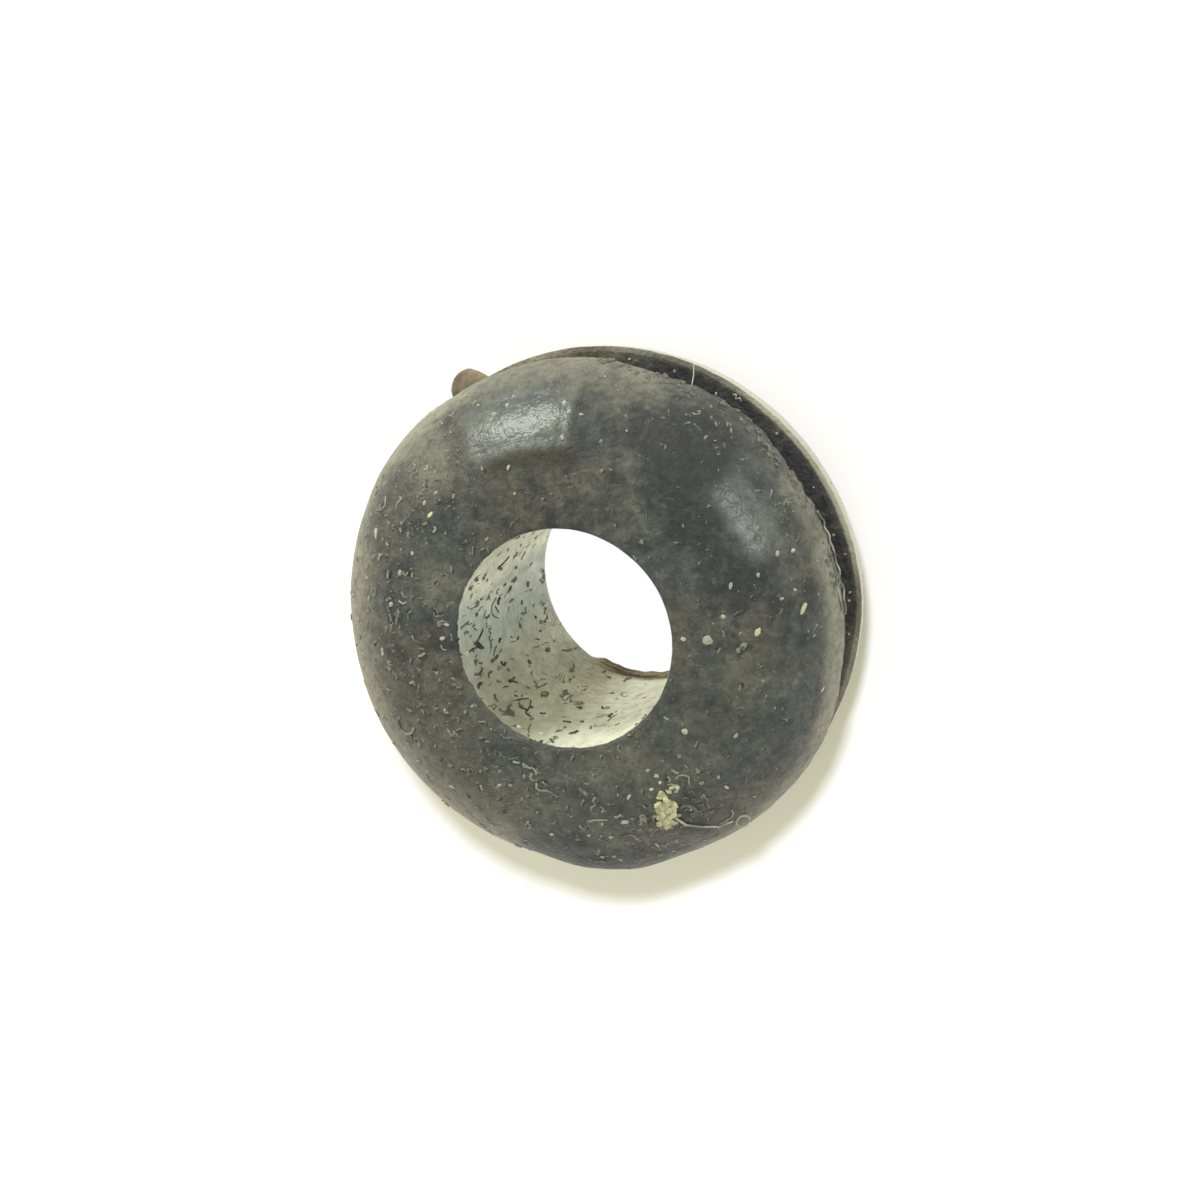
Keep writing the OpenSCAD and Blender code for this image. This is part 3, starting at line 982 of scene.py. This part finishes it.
# Crumbled rubber, nearly black, and the chalky crumbs beside it.
bore_grit = mottled("crumbled_rubber_and_chalk", 8.0, 2.0, 0, 1, "#43423a", "#d8d3b0", 0.8, tone_share=0.25)
finished("bore_grit", bm, bore_grit)

runs = []
for count in range(118):
    heading, level = chance.uniform(0, 360), chance.uniform(0.5, 7.3)
    if count >= 95:
        heading, level = chance.uniform(170, 236), chance.uniform(4.8, 7.0)
    if clean_patch(heading, level):
        continue
    way, bend, step = chance.gauss(math.pi / 2, 0.9), chance.gauss(0, 0.4), chance.uniform(0.02, 0.075)
    marks = []
    for knot in range(5):
        marks.append(in_bore_at(heading, level)[0])
        heading += math.degrees(step * math.cos(way) / bore_r)
        level = min(max(level + 2.5 * step * math.sin(way), 0.3), 7.35)
        way += bend
    runs.append((laid(marks, 0.004), 0.018 + 0.036 * chance.random() ** 1.5, False))
# Three bold ones: heading and height of each bend, and the fibre's radius.
for marks, radius in [
    ([(230, 5.9), (232.5, 6.1), (235, 5.95), (237, 6.2), (240, 6.2)], 0.034),
    ([(175.5, 4.4), (178, 4.75), (181.5, 4.8), (184.5, 4.6), (187, 4.3)], 0.020),
    ([(233, 5.3), (235, 5.6), (236, 6.0)], 0.028),
]:
    runs.append((laid([in_bore_at(*mark)[0] for mark in marks], 0.006), radius, False))

# Strings of black rubber, dusted here and there with talc.
black_fibre = mottled("black_rubber_fibre", 2.5, 2.0, 0.4, 0.65, "#3c3b34", "#77725f", 0.75)
strands("bore_fibres", runs, black_fibre)

# ------------------------------------
# Floor
# A plain pale table top, far wider than any view of the grommet. It is open
# under the bore, where the grommet hides its edge, so the hole looks clear.
# ------------------------------------

floor_r = 2500.0
bm = bmesh.new()
start = bm.verts.new((bore_r + 0.3, 0, 0))
drawn(bm, start, (floor_r, 0), 1)
bmesh.ops.spin(
    bm, geom=bm.verts[:] + bm.edges[:], cent=(0, 0, 0), axis=(0, 0, 1),
    angle=math.tau, steps=128, use_merge=True,
)
bmesh.ops.recalc_face_normals(bm, faces=bm.faces)
if bm.faces[:][0].normal.z < 0:
    bmesh.ops.reverse_faces(bm, faces=bm.faces)
bmesh.ops.scale(bm, vec=(MM, MM, MM), verts=bm.verts)
floor_mesh = bpy.data.meshes.new("table_top")
bm.to_mesh(floor_mesh)
bm.free()
floor = placed_in_scene("table_top", floor_mesh)

# Matt white card, faintly warm, so its shadows go cream.
white_card, tree, mm_place = new_finish("matt_white_card")
felt = add(tree, "TexNoise", {"Vector": mm_place, "Scale": 0.25, "Detail": 4.0})
card_colour = add(tree, "Mix", {"Factor": felt, "A": "#f4f2e6", "B": "#f7f5ea"}, data_type="RGBA")
plain = add(tree, "BsdfDiffuse", {"Color": card_colour})


def seen_by_eye(tree):
    """1 for what is seen, also in a gloss or through glass, and 0 for light that falls on things."""
    ray = add(tree, "LightPath").node.outputs
    seen = add(tree, "Math", {0: ray["Is Camera Ray"], 1: ray["Is Glossy Ray"]}, operation="MAXIMUM")
    return add(tree, "Math", {0: seen, 1: ray["Is Transmission Ray"]}, operation="MAXIMUM")


# A faint glow, for the eye only, lifts the lit card to white.
seen = seen_by_eye(tree)
glow = add(tree, "Emission", {"Color": (0.165, 0.158, 0.075, 1), "Strength": seen})
both = add(tree, "AddShader", {0: plain, 1: glow})

# Past the shadow the card runs out into the white of the room.
from_middle = add(tree, "VectorMath", {0: mm_place}, operation="LENGTH")
far_off = add(tree, "MapRange", {"Value": from_middle, "From Min": 35.0, "From Max": 90.0}, **smoothly)
far_off = add(tree, "Math", {0: far_off, 1: seen}, operation="MULTIPLY")
white = add(tree, "Emission", {"Color": (1, 1, 1, 1), "Strength": 1.0})
both = add(tree, "MixShader", {0: far_off, 1: both, 2: white})
add(tree, "OutputMaterial", {"Surface": both})
floor_mesh.materials.append(white_card)

# ------------------------------------
# Light
# A bright room with white walls. A window and a weaker side light shine on the
# grommet, two lamps under the table light its bore through the opening there,
# and one small lamp lights the table alone.
# ------------------------------------

room = bpy.data.worlds.new("white_room")
bpy.context.scene.world = room
room.use_nodes = True
tree = room.node_tree
tree.nodes.clear()
seen = seen_by_eye(tree)
level = add(tree, "MapRange", {"Value": seen, "To Min": 0.62, "To Max": 1.0})
air_colour = add(tree, "Mix", {
    "Factor": seen, "A": (1.0, 1.0, 0.965, 1), "B": (1, 1, 1, 1),
}, data_type="RGBA")
air = add(tree, "Background", {"Color": air_colour, "Strength": level})
add(tree, "OutputWorld", {"Surface": air})

aim = Vector((0, 0, middle)) * MM


def lamp(name, heading, rise, wide, tall, far, watts, colour):
    """A flat soft light turned to the grommet from a heading and a height in degrees."""
    light = bpy.data.lights.new(name, "AREA")
    light.shape, light.size, light.size_y = "RECTANGLE", wide * MM, tall * MM
    light.energy, light.color = watts, colour
    holder = placed_in_scene(name, light)
    turn, lift = math.radians(heading), math.radians(rise)
    way = Vector((math.cos(turn) * math.cos(lift), math.sin(turn) * math.cos(lift), math.sin(lift)))
    holder.location = aim + way * far * MM
    holder.rotation_mode = "QUATERNION"
    holder.rotation_quaternion = way.to_track_quat("Z", "Y")
    return holder


# Heading, rise, width, height, distance, power and colour of each.
window_light = lamp("window_light", 122, 18, 125, 90, 300, 0.48, (0.97, 1.0, 0.91))
side_light = lamp("side_light", 31, 32, 55, 65, 300, 0.19, (0.90, 1.0, 0.98))
lamp("bore_light", 122, -50, 60, 60, 120, 0.087, (1.0, 0.99, 0.92))
lamp("bore_light_right", 340, -50, 60, 60, 120, 0.060, (0.95, 1.0, 1.0))
table_light = lamp("table_light", 62, 62, 24, 24, 300, 0.59, (0.92, 0.95, 1.25))

# The table light shines on the table only, and the grommet throws its shadow
# in it. The window and the side light leave the table out.
table_only = bpy.data.collections.new("table_only")
table_only.objects.link(floor)
table_light.light_linking.receiver_collection = table_only
all_but_table = bpy.data.collections.new("all_but_table")
all_but_table.objects.link(floor)
all_but_table.collection_objects[0].light_linking.link_state = "EXCLUDE"
window_light.light_linking.receiver_collection = all_but_table
side_light.light_linking.receiver_collection = all_but_table

# ------------------------------------
# Camera
# It looks down on the grommet from 150 mm away, leaning 23 degrees off the
# bore's axis, so that the bore's wall shows on the left.
# ------------------------------------

lean, toward, away = 23.2, 38.0, 150.0
off_centre = Vector((0.186, -0.136, 0))
sight = bpy.data.cameras.new("camera")
sight.sensor_width, sight.lens = 36.0, 161.8
sight.clip_start, sight.clip_end = 10 * MM, 3.0
camera = placed_in_scene("camera", sight)
turn = math.radians(toward)
tilt = Matrix.Rotation(math.radians(lean), 4, Vector((-math.sin(turn), math.cos(turn), 0)))
stand_off = Vector((0, 0, away)) - off_centre
camera.matrix_world = Matrix.Translation(aim) @ tilt @ Matrix.Translation(stand_off * MM)
bpy.context.scene.camera = camera
bpy.context.scene.view_settings.view_transform = "Standard"
